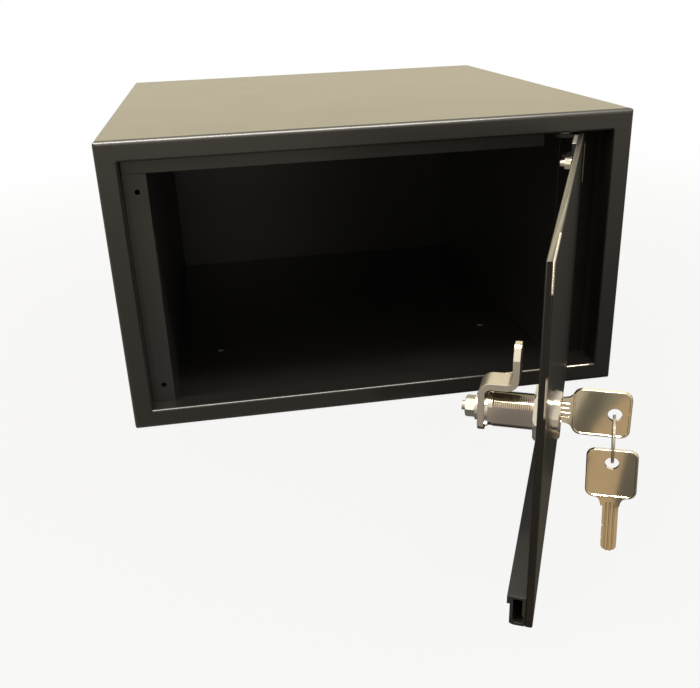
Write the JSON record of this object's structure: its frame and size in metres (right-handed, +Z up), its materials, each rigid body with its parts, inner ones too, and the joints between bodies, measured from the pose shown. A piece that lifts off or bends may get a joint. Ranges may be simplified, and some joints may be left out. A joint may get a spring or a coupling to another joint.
{
  "type": "hotel safe",
  "caption": "Small steel hotel safe with an inset plate door on pivot pins, a cam lock, a key in the lock and a spare key on a split ring.",
  "frame": {"origin": "middle of the body's flat underside", "axes": "+Z up, -Y out of the door opening, +X towards the hinge side"},
  "size_m": [0.406, 0.7279, 0.229],
  "materials": {
    "black_powder_coat": "satin black powder coat with fine orange peel",
    "zinc": "zinc plated",
    "nickel": "polished nickel plate",
    "steel": "plain steel",
    "key_brass": "nickel silver key blank with a golden tone, polished rim"
  },
  "bodies": {
    "safe_body": {"outer_shell": "black_powder_coat", "back_panel": "black_powder_coat", "left_liner": "black_powder_coat", "right_liner": "black_powder_coat", "top_stop_strip": "black_powder_coat", "top_pivot_pin": "zinc", "bottom_pivot_pin": "zinc", "pivot_washers": "zinc"},
    "door": {"door_plate": "black_powder_coat", "door_bottom_channel": "black_powder_coat", "top_hinge_bracket": "zinc", "bottom_hinge_bracket": "zinc", "hinge_studs": "zinc", "hinge_nuts": "zinc", "lock_housing": "nickel", "lock_nut": "zinc", "driver_pins": "steel", "pin_springs": "steel", "pin_cover_strip": "nickel"},
    "lock_cylinder": {"lock_plug": "nickel", "plug_pins": "key_brass", "stop_washer": "zinc", "cam": "zinc", "cam_washer": "zinc", "cam_nut": "zinc"},
    "first_key": {"inserted_key": "key_brass"},
    "ring": {"key_ring": "nickel"},
    "second_key": {"spare_key": "key_brass"}
  },
  "joints": [
    {"name": "door_swing", "type": "hinge", "parent": "safe_body", "child": "door", "pos_m": [0.154, -0.2, 0], "axis": [0, 0, 1], "range_deg": [-64, 51]},
    {"name": "plug_turn", "type": "hinge", "parent": "door", "child": "lock_cylinder", "pos_m": [0.0375, -0.47307, 0.1183], "axis": [0.8988, -0.4384, 0], "range_deg": [0, 90]},
    {"name": "key_slide", "type": "slide", "parent": "lock_cylinder", "child": "first_key", "axis": [0.8988, -0.4384, 0], "range_m": [0, 0.04]},
    {"name": "ring_swing", "type": "hinge", "parent": "first_key", "child": "ring", "pos_m": [0.06573, -0.48683, 0.1178], "axis": [0.8988, -0.4384, 0], "range_deg": [-25, 25]},
    {"name": "spare_key_swing", "type": "hinge", "parent": "ring", "child": "second_key", "pos_m": [0.06646, -0.48719, 0.09576], "axis": [-0.4384, -0.8988, 0], "range_deg": [-15, 15]}
  ]
}
